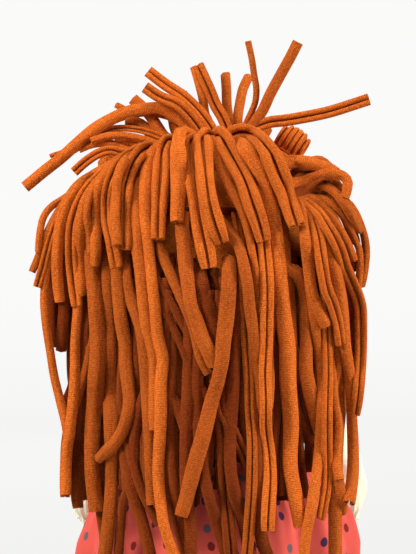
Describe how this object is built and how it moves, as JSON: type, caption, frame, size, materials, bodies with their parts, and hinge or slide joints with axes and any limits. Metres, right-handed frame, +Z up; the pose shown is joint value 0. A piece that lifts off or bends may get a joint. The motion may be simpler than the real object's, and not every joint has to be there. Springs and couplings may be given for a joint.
{
  "type": "rag doll",
  "caption": "Seated cloth rag doll with hair of rolled jersey strips in a topknot, a dotted coral dress, a cream blouse and a ruffle collar.",
  "frame": {"origin": "middle of the flat seat of the torso, on the surface that the doll sits on", "axes": "+Z up, the doll looks towards -Y, its left hand is at +X"},
  "size_m": [0.2453, 0.3822, 0.3988],
  "materials": {
    "skin_cotton": "matt woven cotton",
    "stuffing": "loose polyester fibre",
    "cream_cotton": "matt woven cotton",
    "coral_cotton": "matt woven cotton with printed dots",
    "lace": "matt cotton lace",
    "hair_jersey": "matt brushed jersey knit"
  },
  "bodies": {
    "torso": {"torso_cover": "skin_cotton", "torso_stuffing": "stuffing", "blouse_body": "cream_cotton", "dress_bodice": "coral_cotton", "dress_waistband": "coral_cotton", "dress_skirt": "coral_cotton", "strap_left": "coral_cotton", "strap_right": "coral_cotton", "ruffle_collar": "lace"},
    "head": {"head_cover": "skin_cotton", "head_stuffing": "stuffing", "wig_cap": "hair_jersey", "topknot_tie": "hair_jersey", "topknot_strips": "hair_jersey", "back_strips_middle": "hair_jersey", "back_strips_inner": "hair_jersey", "bunch_strips": "hair_jersey", "fringe_loops": "hair_jersey", "bun_left": "hair_jersey", "bun_right": "hair_jersey", "side_strips_left": "hair_jersey", "side_strips_right": "hair_jersey"},
    "arm_left": {"arm_left_cover": "skin_cotton", "arm_left_stuffing": "stuffing", "sleeve_left": "cream_cotton"},
    "arm_right": {"arm_right_cover": "skin_cotton", "arm_right_stuffing": "stuffing", "sleeve_right": "cream_cotton"},
    "leg_left": {"leg_left_cover": "skin_cotton", "leg_left_stuffing": "stuffing"},
    "leg_right": {"leg_right_cover": "skin_cotton", "leg_right_stuffing": "stuffing"}
  },
  "joints": [
    {"name": "neck_turn", "type": "hinge", "parent": "torso", "child": "head", "pos_m": [0, 0, 0.168], "axis": [0, 0, 1], "range_deg": [-25, 25], "deforming": ["topknot_strips", "back_strips_middle", "back_strips_inner", "bunch_strips"]},
    {"name": "shoulder_left", "type": "hinge", "parent": "torso", "child": "arm_left", "pos_m": [0.0595, 0, 0.147], "axis": [1, 0, 0], "range_deg": [-90, 0]},
    {"name": "shoulder_right", "type": "hinge", "parent": "torso", "child": "arm_right", "pos_m": [-0.0595, 0, 0.147], "axis": [1, 0, 0], "range_deg": [-90, 0]},
    {"name": "hip_left", "type": "hinge", "parent": "torso", "child": "leg_left", "pos_m": [0.03288, -0.05721, 0.022], "axis": [1, 0, 0], "range_deg": [-10, 90]},
    {"name": "hip_right", "type": "hinge", "parent": "torso", "child": "leg_right", "pos_m": [-0.03288, -0.05721, 0.022], "axis": [1, 0, 0], "range_deg": [-10, 90]}
  ]
}
